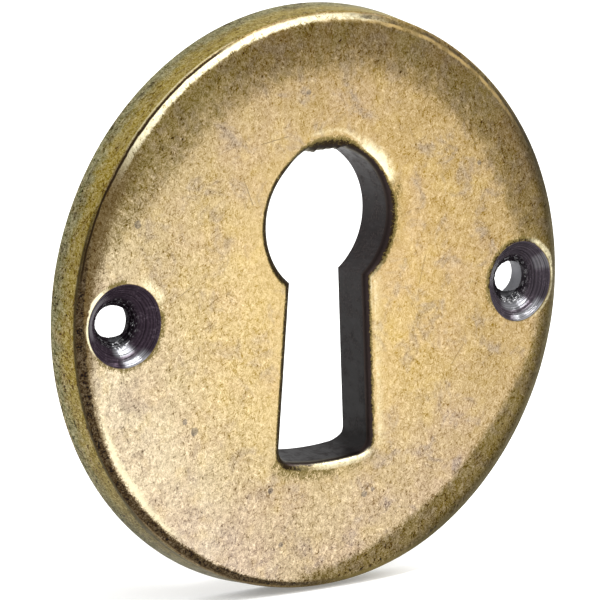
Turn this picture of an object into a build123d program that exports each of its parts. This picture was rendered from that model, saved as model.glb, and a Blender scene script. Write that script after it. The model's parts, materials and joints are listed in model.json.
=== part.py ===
"""Round keyhole escutcheon: a cast brass cover plate that frames a keyhole and is fixed by two screws.

Millimetres. The plate stands upright as it is fixed: the front faces -Y, +Z is up, and the origin is the
centre of the back, in the plane of the rim that lies on the wood.
"""

import math
import os

from build123d import *

# Plate: a shallow cup with a gently domed front
plate_diameter = 32.0  # across the back of the rim
plate_thickness = 2.75  # from the wood to the middle of the front
side_setback = 0.25  # the side wall leans in by this much towards the front
shoulder_width = 0.95  # sloping band between the front and the side wall
shoulder_drop = 0.38
flat_margin = 1.38  # flat front left round the keyhole's worn edge
dome_drop = 0.22  # fall of the front from there to the shoulder
shoulder_blend = 1.1  # rounding between the dome and the shoulder
corner_rounding = 0.18  # rounding between the shoulder and the side wall

# Hollow back
web_thickness = 1.65
rim_wall = 1.5
collar_wall = 1.5  # wall that lines the keyhole down to the wood
recess_chamfer = 0.35  # sloping foot of the walls inside

# Keyhole: a round eye for the key's shank over a slot that widens downwards for its bit
eye_diameter = 8.0
eye_height = 4.5  # centre of the eye above the centre of the plate
slot_top_width = 4.5  # at the level of the eye's centre
slot_foot_width = 6.0
slot_foot_depth = 8.4  # ends of the foot below the centre of the plate
foot_bulge = 0.3  # the foot is a shallow arc
foot_corner_radius = 0.8
keyhole_rounding = 0.5  # worn front edge of the keyhole

# Countersunk screw holes at the left and right
bore_diameter = 1.9
countersink_diameter = 4.5
countersink_angle = 90.0
countersink_margin = 0.35  # metal left between a countersink and the corner of the side wall
countersink_lip = 0.1  # worn lip of a countersink

plate_radius = plate_diameter / 2
corner_radius = plate_radius - side_setback
shoulder_radius = corner_radius - shoulder_width
keyhole_reach = max(eye_height + eye_diameter / 2, math.hypot(slot_foot_width / 2, slot_foot_depth))
flat_radius = keyhole_reach + keyhole_rounding + flat_margin
dome_width = shoulder_radius - flat_radius
shoulder_height = plate_thickness - dome_drop
side_height = shoulder_height - shoulder_drop
recess_depth = plate_thickness - web_thickness
recess_radius = plate_radius - rim_wall
screw_offset = corner_radius - countersink_margin - countersink_diameter / 2
dome_radius = (dome_width**2 + dome_drop**2) / (2 * dome_drop)
screw_run = max(screw_offset - flat_radius, 0.0)
screw_fall = dome_radius - (dome_radius**2 - screw_run**2) ** 0.5
mouth_radius = countersink_diameter / 2 + screw_fall * math.tan(math.radians(countersink_angle / 2))
front_plane = Plane.XZ.offset(plate_thickness)

# Keyhole outline, seen from the front
with BuildSketch(Plane.XZ) as keyhole:
    with BuildLine():
        foot = ThreePointArc(
            (-slot_foot_width / 2, -slot_foot_depth),
            (0, -slot_foot_depth - foot_bulge),
            (slot_foot_width / 2, -slot_foot_depth),
        )
        Polyline(
            foot @ 1,
            (slot_top_width / 2, eye_height),
            (-slot_top_width / 2, eye_height),
            foot @ 0,
        )
    make_face()
    fillet(keyhole.vertices().group_by(Axis.Y)[0], radius=foot_corner_radius)
    with Locations((0, eye_height)):
        Circle(eye_diameter / 2)

with BuildPart() as escutcheon:
    # Turned outline of the plate, from the middle of the front round to the back
    with BuildSketch(Plane.XY) as outline:
        with BuildLine():
            front = Line((0, -plate_thickness), (flat_radius, -plate_thickness))
            dome = TangentArc(front @ 1, (shoulder_radius, -shoulder_height), tangent=front % 1)
            Polyline(dome @ 1, (corner_radius, -side_height), (plate_radius, 0), (0, 0), front @ 0)
        make_face()
        shoulder_inner = outline.vertices().sort_by_distance((shoulder_radius, -shoulder_height))[0]
        fillet(shoulder_inner, radius=shoulder_blend)
        shoulder_outer = outline.vertices().sort_by_distance((corner_radius, -side_height))[0]
        fillet(shoulder_outer, radius=corner_rounding)
    revolve(axis=Axis.Y)

    # Hollow back, with a collar left standing round the keyhole
    with BuildSketch(Plane.XZ) as recess:
        Circle(recess_radius)
        offset(keyhole.sketch_local, amount=collar_wall, mode=Mode.SUBTRACT)
    extrude(amount=recess_depth, mode=Mode.SUBTRACT)
    recess_roots = escutcheon.edges(Select.LAST).group_by(Axis.Y)[0]
    chamfer(recess_roots, length=recess_chamfer)

    # Keyhole through the collar and the front
    extrude(keyhole.sketch, amount=plate_thickness, mode=Mode.SUBTRACT)
    keyhole_rim = escutcheon.edges(Select.LAST).filter_by_position(Axis.Y, -plate_thickness, -side_height)
    fillet(keyhole_rim, radius=keyhole_rounding)

    # Screw holes
    with Locations(front_plane):
        with Locations((-screw_offset, 0), (screw_offset, 0)):
            CounterSinkHole(bore_diameter / 2, mouth_radius, counter_sink_angle=countersink_angle)
    countersink_lips = escutcheon.edges(Select.LAST).filter_by(GeomType.BSPLINE)
    fillet(countersink_lips, radius=countersink_lip)

escutcheon.part.label = "escutcheon_plate"

os.makedirs("parts", exist_ok=True)
export_step(escutcheon.part, "parts/escutcheon_plate.step")
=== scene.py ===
"""Round keyhole escutcheon in aged cast brass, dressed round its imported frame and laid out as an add-on.

The plate stands as it is fixed: its front faces -Y, +Z is up, and the rim of its back lies at Y = 0.
Shapes are worked out in millimetres, with a point's height counted from the wood towards the front.
"""

import json
import math
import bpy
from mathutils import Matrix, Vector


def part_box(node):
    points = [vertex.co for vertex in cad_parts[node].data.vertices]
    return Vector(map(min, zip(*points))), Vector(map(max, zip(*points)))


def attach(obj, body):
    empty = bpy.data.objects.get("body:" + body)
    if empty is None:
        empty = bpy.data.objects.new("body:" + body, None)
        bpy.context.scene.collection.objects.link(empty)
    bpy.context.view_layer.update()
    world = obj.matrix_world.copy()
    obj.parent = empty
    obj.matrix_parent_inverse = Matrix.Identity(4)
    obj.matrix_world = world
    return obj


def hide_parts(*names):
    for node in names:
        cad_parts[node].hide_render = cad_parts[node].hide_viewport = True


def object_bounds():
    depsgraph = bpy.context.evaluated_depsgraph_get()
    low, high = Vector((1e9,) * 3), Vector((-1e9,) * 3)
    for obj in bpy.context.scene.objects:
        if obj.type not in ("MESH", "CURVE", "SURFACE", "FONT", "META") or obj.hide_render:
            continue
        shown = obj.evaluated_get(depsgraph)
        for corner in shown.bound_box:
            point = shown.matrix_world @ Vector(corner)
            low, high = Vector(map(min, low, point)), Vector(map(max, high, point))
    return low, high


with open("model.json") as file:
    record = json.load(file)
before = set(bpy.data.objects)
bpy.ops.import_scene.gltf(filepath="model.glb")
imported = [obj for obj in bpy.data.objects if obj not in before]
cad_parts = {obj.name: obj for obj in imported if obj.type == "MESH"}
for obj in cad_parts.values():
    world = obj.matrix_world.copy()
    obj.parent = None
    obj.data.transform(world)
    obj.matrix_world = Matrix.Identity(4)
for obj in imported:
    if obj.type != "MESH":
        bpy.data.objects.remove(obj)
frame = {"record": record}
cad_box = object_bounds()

from types import SimpleNamespace

import bmesh
import bpy
import numpy as np
from mathutils import Matrix, Vector
from mathutils.geometry import delaunay_2d_cdt

bl_info = {
    "name": "Keyhole escutcheon",
    "version": (1, 0, 0),
    "blender": (4, 5, 0),
    "location": "3D View > Sidebar > Escutcheon",
    "description": "Round cast brass keyhole plate with countersunk screw holes, and its stage",
    "category": "Object",
}

MM = 0.001
PLATE_NODE = "escutcheon_plate"
FACE, KEYHOLE, COUNTERSINK, BACK = range(4)  # regions of the plate, one for each material

# How finely the plate is meshed, in points, rows and millimetres
RIM_POINTS = 720  # in a row round the plate
HOLE_POINTS = 168  # in a row round a screw hole
CONE_ROWS = 58  # over a countersink's cone
LIP_SHARES = (0.2, 0.45, 0.7, 1.0)  # of the way from a countersink's lip to its border
LIP_STEPS = 12  # rounds in which a countersink's lip is found
WALL_ROWS = 10  # down the keyhole's wall
CORNER_ROWS = 7  # over the corner
SIDE_ROWS = 12  # down the side wall
KEYHOLE_BORDER = 1.2  # how far the keyhole's rows reach into the front
HOLE_BORDER = 2.38  # how far a screw hole's rows reach from its axis
RING_PITCH = 0.1  # between rings of points near the shoulder
RINGS_WIDTH = 1.3  # how far in from the corner the rings go
LATTICE_PITCH = 0.215  # between loose points of the front
LATTICE_SHIFT = 0.035  # how far they are moved at random
LATTICE_SEED = 11
CEILING_PITCH = 0.8  # between loose points of the recess's ceiling
CEILING_MARGIN = 0.3
PIT_RINGS = (0.14, 0.34, 0.56, 0.78, 1.0, 1.25)  # shares of a pit's radius
PIT_POINTS = 18  # in each of its rings
EDGE_SHARES = (0.0, 0.03, 0.09, 0.17, 0.27, 0.38, 0.5, 0.63, 0.78, 1.0)  # of the keyhole's rounding
FAR = 3.0  # past this, the distance from an edge no longer counts
KEYHOLE_SLACK, HOLE_SLACK, BORE_SLACK = 1e-4, 8e-4, 5e-4  # how far a face may reach over a many-sided border

SHARP_ANGLE = math.radians(42)  # edges that turn further are shaded sharp
TORN_MIDDLE, TORN_HALF = 92, 18  # torn metal at the top of the eye, in degrees
BORE_SHIFT, BORE_OVAL = (0.1, 0.05), (1.08, 0.9)  # of a bore's opening: off its axis, and its shape
FINE_PITCH, COARSE_PITCH = 0.15, 0.14  # between the ridges left in a countersink, in millimetres
GROOVE_RADIUS, GROOVE_HALF = 1.9, 0.035  # of the groove near a countersink's lip

# The stage, in metres and watts
FLOOR_REACH = 4.0
PICTURE_WIDTH = 36.0  # of the camera, in millimetres
LAMP_DISTANCE = 0.6
LAMPS = (  # name, direction to the lamp, direction of its length, size and power
    ("front_softbox", (0.07, -0.72, 0.68), (1.0, 0.0, 0.0), (0.5, 0.18), 0.6),
    ("top_softbox", (0.12, -0.385, 0.916), (0.92, 0.34, 0.07), (0.4, 0.032), 2.6),
    ("side_softbox", (0.74, -0.1, 0.66), (0.6, 0.3, -0.7), (0.22, 0.05), 1.0),
)

plate_low, plate_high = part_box(PLATE_NODE)
screw_mount = next(m for m in frame["record"]["mounts"] if m["name"] == "screw_holes")


def length(name, description, millimetres):
    """A size in metres with its default given in millimetres."""
    return bpy.props.FloatProperty(
        name=name, description=description, default=millimetres * MM, unit="LENGTH", precision=5
    )


def share(name, description, default):
    """A plain number, nought or more."""
    return bpy.props.FloatProperty(name=name, description=description, default=default, min=0.0)


def turn(name, description, degrees):
    """An angle with its default given in degrees."""
    return bpy.props.FloatProperty(
        name=name, description=description, default=math.radians(degrees), subtype="ANGLE"
    )


def linear(red, green, blue):
    """A colour as seen on a screen, 0 to 255, as scene linear values."""
    parts = [v / 255 for v in (red, green, blue)]
    return tuple(v / 12.92 if v <= 0.04045 else ((v + 0.055) / 1.055) ** 2.4 for v in parts)


def tint(name, description, screen):
    """A colour with its default given as seen on a screen."""
    return bpy.props.FloatVectorProperty(
        name=name, description=description, default=linear(*screen), subtype="COLOR", size=3, min=0.0, max=1.0
    )


class EscutcheonSizes(bpy.types.PropertyGroup):
    """Sizes of the plate, its keyhole and its screw holes."""

    diameter: length("Diameter", "Across the back of the rim", (plate_high.x - plate_low.x) / MM)
    thickness: length("Thickness", "From the wood to the middle of the front", -plate_low.y / MM)
    side_setback: length("Side setback", "How far the side wall leans in towards the front", 0.25)
    side_height: length("Side height", "Corner of the shoulder above the wood", 2.15)
    shoulder_width: length("Shoulder width", "Rounded band between the front and the side wall", 0.55)
    shoulder_blend: length("Shoulder blend", "Rounding where the front turns into the shoulder", 0.1)
    flat_radius: length("Flat radius", "Where the front starts to fall away", 10.8)
    dome_radius: length("Dome radius", "Curve of the front outside its flat middle", 36.5)
    corner_rounding: length("Corner rounding", "Between the shoulder and the side wall", 0.18)
    edge_out: length("Fuller edge, outwards", "How far the corner stands out on the right", 0.085)
    edge_forward: length("Fuller edge, forwards", "How far the corner stands forward on the right", 0.07)
    back_rounding: length("Back rounding", "Broken edges of the back", 0.06)
    web_thickness: length("Web thickness", "Metal left behind the front", 1.65)
    rim_wall: length("Rim wall", "Wall of the rim at the wood", 1.5)
    collar_wall: length("Collar wall", "Wall that lines the keyhole", 1.5)
    recess_foot: length("Recess foot", "Sloping foot of the walls inside", 0.35)
    eye_diameter: length("Eye diameter", "Round top of the keyhole", 8.0)
    eye_height: length("Eye height", "Centre of the eye above the centre of the plate", 4.5)
    slot_top_width: length("Slot top width", "At the level of the eye's centre", 4.5)
    slot_foot_width: length("Slot foot width", "At the foot of the keyhole", 6.0)
    slot_foot_depth: length("Slot foot depth", "Ends of the foot below the centre of the plate", 8.4)
    foot_bulge: length("Foot bulge", "Rise of the foot's shallow arc", 0.3)
    foot_corner: length("Foot corner", "Rounding of the foot's corners", 0.8)
    keyhole_rounding: length("Keyhole rounding", "Worn front edge of the keyhole", 0.5)
    eye_wear: length("Eye wear", "More rounding at the top of the eye", 0.42)
    eye_burr: length("Eye burr", "Raggedness of the torn metal that hangs into the top of the eye", 0.07)
    foot_draft: length("Foot draft", "Rise of the keyhole's foot towards the back", 0.26)
    foot_corner_back: length("Foot corner at the back", "Rounding of the foot's corners at the back", 1.05)
    screw_spacing: length("Screw spacing", "Between the screw holes", screw_mount["dims"]["spacing_x_mm"])
    bore_radius: length("Bore radius", "Screw holes at their narrowest", screw_mount["dims"]["hole_r_mm"])
    bore_flare: length("Bore flare", "Broken edge of a screw hole at the back", 1.15)
    drill_radius: length("Drill radius", "Notch that the drill left in the rim beside a screw hole", 1.25)
    countersink_radius: length("Countersink radius", "Mouth of a countersink", 2.25)
    countersink_lip: length("Countersink lip", "Rounding of a countersink's lip", 0.09)
    turning_marks: length("Turning marks", "Depth of the ridges left in a countersink by the cutter", 0.004)
    wave_depth: length("Wave depth", "Depth of the long waves in the cast skin", 0.016)
    wave_size: length("Wave size", "Length of the long waves in the cast skin", 4.0)
    dent_depth: length("Dent depth", "Depth of the small dents in the cast skin", 0.006)
    dent_size: length("Dent size", "Width of the small dents in the cast skin", 0.55)


class EscutcheonFinish(bpy.types.PropertyGroup):
    """Colours of the aged brass, its patina and the blackened holes."""

    # Painted light: the pale, deep and cream golds are lit and shaded copies of one brass, lit from the lower
    # left
    lit_pale_gold: tint("Pale gold", "Brass of the front at the lower left", (179, 160, 122))
    shaded_deep_gold: tint("Deep gold", "Brass of the front at the upper right", (166, 142, 98))
    lit_cream_gold: tint("Cream gold", "Brass of the front near the lower left edge", (201, 185, 157))
    yellow_gold: tint("Yellow gold", "Cleaner brass in specks", (192, 168, 108))
    rose_bloom: tint("Rose bloom", "Pinkish bloom in patches", (178, 154, 127))
    grey_bloom: tint("Grey bloom", "Grey mottling", (141, 127, 113))
    # Also the painted dark reflection along the top of the front
    brown_patina: tint("Brown patina", "Patina left along the top", (104, 86, 54))
    # Also painted shade on the lower corner of the shoulder
    olive_patina: tint("Olive patina", "Patina at the lower right and beside the holes", (102, 89, 48))
    grey_patina: tint("Grey patina", "Violet grey patches of the patina", (100, 87, 74))
    pit_grey: tint("Pit grey", "Casting pits", (86, 84, 86))
    # Also the painted dark reflection in the shoulder's dark band and on the keyhole's rounded edge
    edge_black: tint("Edge black", "Soot on the shoulder and at the edges of the holes", (40, 30, 18))
    soot_grey: tint("Soot grey", "Innermost rounding of the keyhole's edge", (46, 38, 37))
    # Painted highlights on the shoulder, the corner and the edges of the holes, as well as rubbed brass
    cream_wear_and_highlight: tint("Cream wear", "Brass rubbed bright on the edges", (232, 222, 186))
    streak_gold: tint("Streak gold", "Thin rubbed line on the shoulder at the upper right", (168, 144, 96))
    side_brass: tint("Side brass", "Side wall near its corner", (133, 117, 60))
    side_grey: tint("Side grey", "Side wall near the wood", (115, 111, 82))
    keyhole_black: tint("Keyhole black", "Walls of the keyhole", (25, 20, 20))
    keyhole_rubbed: tint("Keyhole rubbed", "Rubbed patches on the walls of the keyhole", (62, 53, 51))
    keyhole_drag: tint("Keyhole drag", "Drag lines on the walls of the keyhole", (46, 42, 44))
    countersink_black: tint("Countersink black", "Countersinks", (41, 33, 40))
    countersink_rubbed: tint("Countersink rubbed", "Rubbed patches in the countersinks", (80, 70, 78))
    # Partly a painted reflection, where the lamps reflect in the cones
    countersink_wear_and_sheen: tint("Countersink worn", "Countersinks where they are worn greyer", (112, 112, 115))
    # Painted glints on bare specks
    bare_glint_speck: tint("Bright speck", "Bare specks deep in the countersinks", (225, 224, 226))
    raw_metal: tint("Raw metal", "Hollow back, as cast", (128, 120, 104))
    drilled_grey: tint("Drilled grey", "Notch that the drill left in the rim", (104, 104, 108))


class EscutcheonStage(bpy.types.PropertyGroup):
    """Camera, light and floor."""

    yaw: turn("Yaw", "How far the camera looks to the right of straight at the front", 35.17)
    pitch: turn("Pitch", "How far the camera looks up; below zero it looks down", -10.72)
    roll: turn("Roll", "Tilt of the camera about its own line of sight", 0.95)
    distance: length("Distance", "From the camera to the centre of the back", 252.4)
    aim_right: length("Aim right", "Where the centre of the back lies, right of the picture's middle", 0.016)
    aim_up: length("Aim up", "Where the centre of the back lies, above the picture's middle", 0.255)
    lens: share("Lens", "Focal length in millimetres, for a 36 mm wide picture", 279.0)
    room_light: share("Room light", "Strength of the even white light all round", 1.1)
    floor_white: tint("Floor white", "Plain pale floor", (236, 236, 235))
    floor_glow: share("Floor glow", "Light that the floor gives off itself, like a lit table", 0.22)


def in_millimetres(sizes):
    """Every size in millimetres, with the ones that follow from them."""
    s = SimpleNamespace(**{name: getattr(sizes, name) / MM for name in sizes.__annotations__})
    s.plate_radius = s.diameter / 2
    s.corner_radius = s.plate_radius - s.side_setback
    run = s.corner_radius - s.shoulder_width - s.flat_radius
    s.shoulder_slope = (s.thickness - run**2 / (2 * s.dome_radius) - s.side_height) / s.shoulder_width
    s.recess_depth = s.thickness - s.web_thickness
    s.recess_radius = s.plate_radius - s.rim_wall
    s.screw_offset = s.screw_spacing / 2
    fall = (s.screw_offset - s.flat_radius) ** 2 / (2 * s.dome_radius)
    s.cone_foot = s.thickness - fall - s.countersink_radius
    return s


def smooth_step(value, low, high):
    """0 below low, 1 above high, eased between."""
    t = np.clip((value - low) / (high - low), 0.0, 1.0)
    return t * t * (3 - 2 * t)


def soft_min(a, b, reach):
    """The lower of two heights, with the crease between them rounded."""
    overlap = np.maximum(reach - np.abs(a - b), 0.0)
    return np.minimum(a, b) - overlap**2 / (4 * reach)


def ragged(angle, seed):
    """An uneven value between -1 and 1 along an angle."""
    waves = ((17, 0.9), (29, 2.1), (47, 4.4), (83, 1.3), (127, 3.2))
    return sum(math.sin(seed * k + p) * np.sin(k * angle + p * seed) for k, p in waves) / 3


def circle(radius, count, centre=(0.0, 0.0)):
    """Points round a circle, in plan."""
    angle = np.linspace(0, 2 * math.pi, count, endpoint=False)
    return np.stack([centre[0] + radius * np.cos(angle), centre[1] + radius * np.sin(angle)], 1)


class Keyhole:
    """Outline of the keyhole: a round eye joined to a slot that widens to a shallow arched foot."""

    EYE_POINTS, SIDE_POINTS, CORNER_POINTS, FOOT_POINTS = 156, 66, 12, 16

    def __init__(self, s, foot_corner):
        self.eye = np.array([0.0, s.eye_height])
        self.eye_radius = s.eye_diameter / 2
        self.top = np.array([s.slot_top_width / 2, s.eye_height])
        along = np.array([s.slot_foot_width / 2, -s.slot_foot_depth]) - self.top
        self.along = along / np.linalg.norm(along)
        self.out = np.array([-self.along[1], self.along[0]])
        half = s.slot_foot_width / 2
        self.foot_radius = (half**2 + s.foot_bulge**2) / (2 * s.foot_bulge)
        self.foot_centre = np.array([0.0, -s.slot_foot_depth - s.foot_bulge + self.foot_radius])
        self.corner_radius = foot_corner
        inner = self.top - foot_corner * self.out
        self.corner = inner + self.along * self._reach(
            inner - self.foot_centre, self.along, self.foot_radius - foot_corner
        )
        down = self.corner - self.foot_centre
        self.down = down / np.linalg.norm(down)
        self.side_angle = math.atan2(self.out[1], self.out[0])
        self.foot_angle = math.atan2(self.down[1], self.down[0])

    @staticmethod
    def _reach(start, direction, radius):
        """How far along a line it leaves a circle about the origin."""
        b = float(start @ direction)
        return -b + math.sqrt(b * b - float(start @ start) + radius**2)

    def loop(self, offset):
        """Points round the outline, moved out into the metal, the same number at every offset."""
        edge = self.top + offset * self.out
        joint = edge + self.along * self._reach(edge - self.eye, self.along, self.eye_radius + offset)
        start = math.atan2(joint[1] - self.eye[1], joint[0] - self.eye[0])
        turn_round = np.linspace(start, math.pi - start, self.EYE_POINTS, endpoint=False)
        spread = np.stack([np.cos(turn_round), np.sin(turn_round)], 1)
        eye = self.eye + (self.eye_radius + offset) * spread
        radius = self.corner_radius + offset
        share_down = np.linspace(0, 1, self.SIDE_POINTS, endpoint=False)[:, None]
        side = joint + share_down * (self.corner + radius * self.out - joint)
        bend = np.linspace(self.side_angle, self.foot_angle, self.CORNER_POINTS, endpoint=False)
        corner = self.corner + radius * np.stack([np.cos(bend), np.sin(bend)], 1)
        sweep = np.linspace(self.foot_angle, -math.pi / 2, self.FOOT_POINTS)
        foot = self.foot_centre + (self.foot_radius + offset) * np.stack([np.cos(sweep), np.sin(sweep)], 1)
        right = np.concatenate([side, corner, foot])
        left = right * (-1, 1)
        return np.concatenate([eye, left, right[-2:0:-1]])

    def distance(self, plan):
        """How far points lie outside the outline, in plan."""
        q = np.stack([np.abs(plan[:, 0]), plan[:, 1]], 1)
        eye = np.hypot(*(q - self.eye).T) - self.eye_radius
        side = (q - self.top) @ self.out
        foot = np.hypot(*(q - self.foot_centre).T) - self.foot_radius
        away = q - self.corner
        angle = np.arctan2(away[:, 1], away[:, 0])
        corner = np.hypot(*away.T) - self.corner_radius
        slot = np.where(angle > self.side_angle, side, np.where(angle < self.foot_angle, foot, corner))
        slot = np.where(plan[:, 1] > self.eye[1], np.inf, slot)
        return np.minimum(eye, slot)


class PlateMesh:
    """Gathers the points and faces of the plate, in millimetres."""

    USUAL = {"edge_keyhole": FAR, "edge_screw": FAR, "edge_rim": -FAR, "pit": 0.0, "skin": 1.0}

    def __init__(self):
        self.points, self.faces, self.regions = [], [], []
        self.marks = {name: [] for name in self.USUAL}
        self.count = 0

    def add(self, plan, height, **marks):
        """Adds points by their plan and height, and gives their numbers."""
        n = len(plan)
        height = np.broadcast_to(height, n)
        self.points.append(np.stack([plan[:, 0], -height, plan[:, 1]], 1))
        for name, values in self.marks.items():
            values.append(np.broadcast_to(np.asarray(marks.get(name, self.USUAL[name]), float), n))
        self.count += n
        return np.arange(self.count - n, self.count)

    def strip(self, first, second, region):
        """Four-sided faces between two closed rows of points."""
        quads = np.stack([first, np.roll(first, -1), np.roll(second, -1), second], 1)
        self.faces += quads.tolist()
        self.regions += [region] * len(quads)

    def rows(self, rows, region):
        """Faces along a run of closed rows."""
        for first, second in zip(rows, rows[1:]):
            self.strip(first, second, region)

    def fill(self, borders, loose, inside, region):
        """Triangles over loose points, kept between closed borders and away from the holes."""
        numbers = np.concatenate(borders + [loose])
        plan = np.concatenate(self.points)[numbers][:, [0, 2]]
        starts = np.cumsum([0] + [len(border) for border in borders])
        closed = [np.arange(a, b) for a, b in zip(starts, starts[1:])]
        edges = [pair for row in closed for pair in zip(row.tolist(), np.roll(row, -1).tolist())]
        made = delaunay_2d_cdt([Vector(p) for p in plan.tolist()], edges, [], 0, 1e-6)
        source = [group[0] for group in made[3]]
        triangles = np.array([[source[i] for i in face] for face in made[2]])
        triangles = triangles[inside(plan[triangles].mean(1))]
        self.faces += numbers[triangles].tolist()
        self.regions += [region] * len(triangles)

    def build(self, name, s):
        """The finished mesh in metres, facing outwards, with its marks and its wear as attributes."""
        points = np.concatenate(self.points)
        marks = {label: np.concatenate(values) for label, values in self.marks.items()}
        marks.update(wear_marks(s, points[:, [0, 2]], marks))
        points = fuller_edge(s, points)
        mesh = bpy.data.meshes.new(name)
        mesh.from_pydata((points * MM).tolist(), [], self.faces)
        region = mesh.attributes.new("region", "INT", "FACE")
        region.data.foreach_set("value", np.array(self.regions, np.int32))
        for label, values in marks.items():
            attribute = mesh.attributes.new(label, "FLOAT", "POINT")
            attribute.data.foreach_set("value", values.astype(np.float32))
        work = bmesh.new()
        work.from_mesh(mesh)
        bmesh.ops.recalc_face_normals(work, faces=work.faces)
        work.to_mesh(mesh)
        work.free()
        mesh.shade_smooth()
        return mesh


PITS = (  # place in plan, radius and depth of the larger casting pits, in millimetres
    ((-12.3, 5.35), 0.2, 0.06),
    ((-8.65, -6.1), 0.22, 0.06),
    ((-9.25, -5.5), 0.15, 0.03),
    ((-3.7, -9.9), 0.16, 0.03),
    ((2.55, -10.8), 0.18, 0.035),
    ((3.1, -10.6), 0.13, 0.03),
    ((-1.6, 11.6), 0.16, 0.03),
    ((9.9, 6.9), 0.14, 0.03),
    ((-2.9, -13.0), 0.15, 0.025),
)


def stretch(angle, start, full_from, full_to, end):
    """1 along a stretch of angles in degrees, easing to 0 at its two ends."""
    middle = (full_from + full_to) / 2
    away = (angle - middle + 180) % 360 - 180
    rising = smooth_step(away, start - middle, full_from - middle)
    return rising * smooth_step(-away, middle - end, middle - full_to)


def band(value, start, full_from, full_to, end):
    """1 between two values, easing to 0 outside them."""
    return smooth_step(value, start, full_from) * smooth_step(-value, -end, -full_to)


def face_patina_and_dark_reflection(plan):
    """How far the front is darkened: along the top by patina and a painted dark reflection, and at the lower
    right by patina.
    """
    radius = np.hypot(*plan.T)
    angle = np.degrees(np.arctan2(plan[:, 1], plan[:, 0]))
    # Along the top: patina and a painted dark reflection where the front falls away to the rim
    top_start = 12.45 + 2.2 * (1 - stretch(angle, -23, 22, 138, 178))
    top = 0.55 * smooth_step(radius, top_start - 0.7, top_start + 0.7)
    top = top + 0.45 * smooth_step(radius, top_start - 0.2, top_start + 2.4)
    top = top * stretch(angle, -35, -5, 158, 184) * (1 - 0.2 * stretch(angle, 104, 124, 160, 185))
    top = top * (1 - 0.14 * stretch(angle, 52, 66, 84, 98) * smooth_step(-radius, -14.4, -13.4))
    low_start = 13.65 + 1.25 * (1 - stretch(angle, 258, 302, 318, 364))
    low = 1.06 * smooth_step(radius, low_start - 0.5, low_start + 0.6)
    return np.maximum(top, low * stretch(angle, 254, 274, 350, 372))


def keyhole_soot_shade_and_highlights(s, plan, keyhole):
    """Soot round the keyhole's front edge with a painted dark reflection on its rounding, widest at the top
    of the eye, and painted highlights beside it.
    """
    x, z = plan.T
    eye = np.degrees(np.arctan2(z - s.eye_height, x))
    in_eye = smooth_step(z, s.eye_height - 3.4, s.eye_height - 3.0)
    foot = smooth_step(-z, s.slot_foot_depth - 0.35, s.slot_foot_depth + 0.1)
    torn = in_eye * stretch(eye, 56, 84, 110, 136)
    at_left = np.maximum(in_eye * stretch(eye, 116, 140, 250, 260), (1 - in_eye) * (x < 0))

    # Soot and a painted dark reflection on the rounded front edge, widest where the metal is torn at the top
    # of the eye
    reach = 0.36 + 0.44 * torn + 0.2 * in_eye * stretch(eye, -60, -30, 10, 28) + 0.14 * at_left
    reach = reach - 0.04 * (1 - in_eye) * smooth_step(-x, 1.5, 2.4) * smooth_step(-z, 5.5, 8.0)
    begin = reach * (0.3 + 0.5 * at_left)
    soot = (1 - smooth_step(keyhole, begin, reach)) * (1 - 0.25 * torn * smooth_step(keyhole, 0.3, 0.5))
    foot_line = (0.42 - 0.25 * smooth_step(x, -0.8, 1.2)) * band(keyhole, 0.45, 0.48, 0.5, 0.54)
    foot_line = np.maximum(foot_line, 1 - smooth_step(keyhole, 0.02, 0.1))
    foot_line = np.maximum(foot_line, soot * smooth_step(-x, 0.2, 2.6))
    soot = soot + foot * (foot_line - soot)
    halo = band(keyhole - reach, -0.1, 0.0, 0.12, 0.32) * in_eye * stretch(eye, -34, -12, 14, 32)
    soot = np.maximum(soot, 0.34 * halo)

    # Painted highlights on the rounded edge: at the eye's upper right, along the slot's right side, on the
    # foot and a little at the eye's lower right
    brightest = 0.85 * stretch(eye, 18, 34, 54, 74) + 0.4 * stretch(eye, 58, 76, 96, 118)
    along_slot = 0.34 * band(keyhole, 0.34, 0.44, 0.55, 0.85) * (1 - in_eye) * (x > 0) * (1 - foot)
    along_foot = 0.16 * smooth_step(x, -2.7, -1.8) + 0.42 * smooth_step(x, -1.3, 0.2)
    along_foot = along_foot - 0.2 * smooth_step(x, 1.4, 2.6)
    highlights = (
        band(keyhole - reach, -0.12, -0.02, 0.04, 0.38) * brightest,
        along_slot,
        band(keyhole, 0.05, 0.12, 0.36, 0.46) * foot * along_foot,
        0.3 * band(keyhole, 0.2, 0.28, 0.34, 0.44) * stretch(eye, -66, -58, -42, -28),
    )
    return soot, np.maximum.reduce(highlights)


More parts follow.
